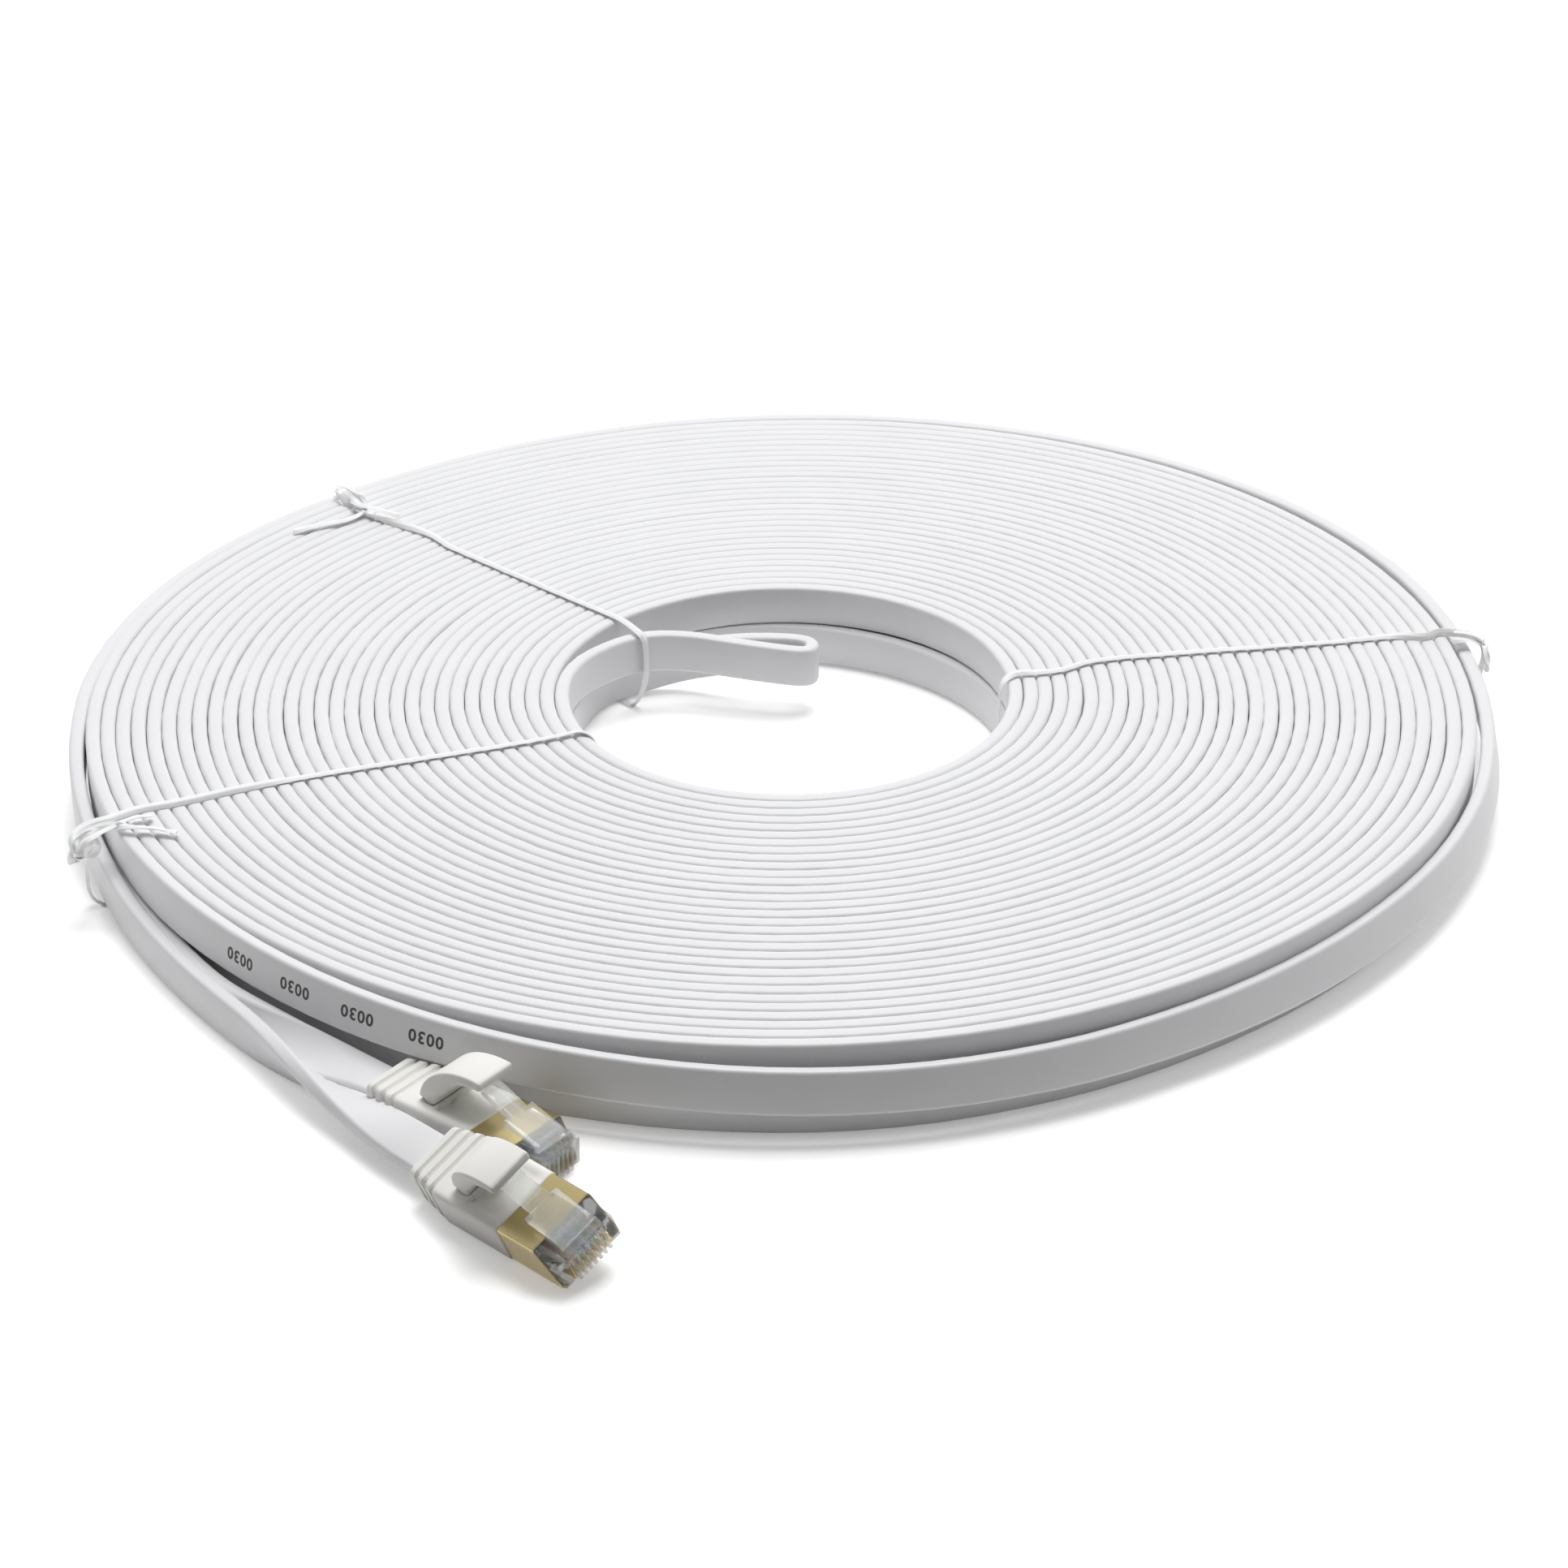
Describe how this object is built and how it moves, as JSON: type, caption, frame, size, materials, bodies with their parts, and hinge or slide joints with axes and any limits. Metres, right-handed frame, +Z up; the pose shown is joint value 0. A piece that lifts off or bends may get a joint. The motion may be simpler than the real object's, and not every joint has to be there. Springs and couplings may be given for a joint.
{
  "type": "ethernet patch cable",
  "caption": "Flat screened network patch cable wound into a flat tied coil, with a booted, latched modular plug on each end.",
  "frame": {"origin": "middle of the whole part's footprint, on the surface that the coil lies on", "axes": "+Z up, out of the coil's upper side; +Y from the plugs across the coil, the longest way; +X to the right seen from the plugs"},
  "size_m": [0.2378, 0.2738, 0.0175],
  "materials": {
    "boot": "soft moulded PVC, warm white",
    "cable_jacket": "satin extruded PVC, cool white",
    "shield": "gold-plated sheet, satin",
    "clear_plastic": "clear polycarbonate, moulded",
    "contact_gold": "gold-plated blades",
    "load_bar": "clear polycarbonate",
    "wire_insulation": "polyethylene insulation",
    "inner_mould": "polyethylene",
    "crimp_band": "plated",
    "screen_foil": "foil",
    "tie": "polyethylene skin over a steel wire"
  },
  "bodies": {
    "root": {"front_boot": "boot", "front_shield": "shield", "front_housing": "clear_plastic", "front_contacts": "contact_gold", "front_load_bar": "load_bar", "front_conductors": "wire_insulation", "front_inner_mould": "inner_mould", "front_crimp_band": "crimp_band", "front_screen_foil": "screen_foil", "rear_boot": "boot", "rear_shield": "shield", "rear_housing": "clear_plastic", "rear_contacts": "contact_gold", "rear_load_bar": "load_bar", "rear_conductors": "wire_insulation", "rear_inner_mould": "inner_mould", "rear_crimp_band": "crimp_band", "rear_screen_foil": "screen_foil", "upper_winding": "cable_jacket", "lower_winding": "cable_jacket", "centre_fold": "cable_jacket", "front_lead": "cable_jacket", "rear_lead": "cable_jacket", "left_tie": "tie", "back_tie": "tie", "right_tie": "tie"},
    "front_latch_body": {"front_latch": "clear_plastic"},
    "front_guard_body": {"front_latch_guard": "boot"},
    "rear_latch_body": {"rear_latch": "clear_plastic"},
    "rear_guard_body": {"rear_latch_guard": "boot"}
  },
  "joints": [
    {"name": "front_guard_press", "type": "hinge", "parent": "root", "child": "front_guard_body", "pos_m": [-0.04327, -0.11952, 0.00977], "axis": [0.6556, 0.6414, 0.3985], "range_deg": [0, 10.5], "stiffness_Nm_per_rad": 0.001},
    {"name": "front_latch_press", "type": "hinge", "parent": "root", "child": "front_latch_body", "pos_m": [-0.02922, -0.1334, 0.00899], "axis": [-0.6556, -0.6414, -0.3985], "range_deg": [0, 9], "stiffness_Nm_per_rad": 0.00001, "springref_deg": -16.04},
    {"name": "rear_guard_press", "type": "hinge", "parent": "root", "child": "rear_guard_body", "pos_m": [-0.04961, -0.09503, 0.0082], "axis": [0.6046, 0.7965, 0], "range_deg": [0, 10.5], "stiffness_Nm_per_rad": 0.001},
    {"name": "rear_latch_press", "type": "hinge", "parent": "root", "child": "rear_latch_body", "pos_m": [-0.03392, -0.10694, 0.0066], "axis": [-0.6046, -0.7965, 0], "range_deg": [0, 9], "stiffness_Nm_per_rad": 0.00001, "springref_deg": -16.04}
  ],
  "couplings": [
    {"joint": "front_latch_press", "follows": "front_guard_press", "ratio": 0.85},
    {"joint": "rear_latch_press", "follows": "rear_guard_press", "ratio": 0.85}
  ]
}
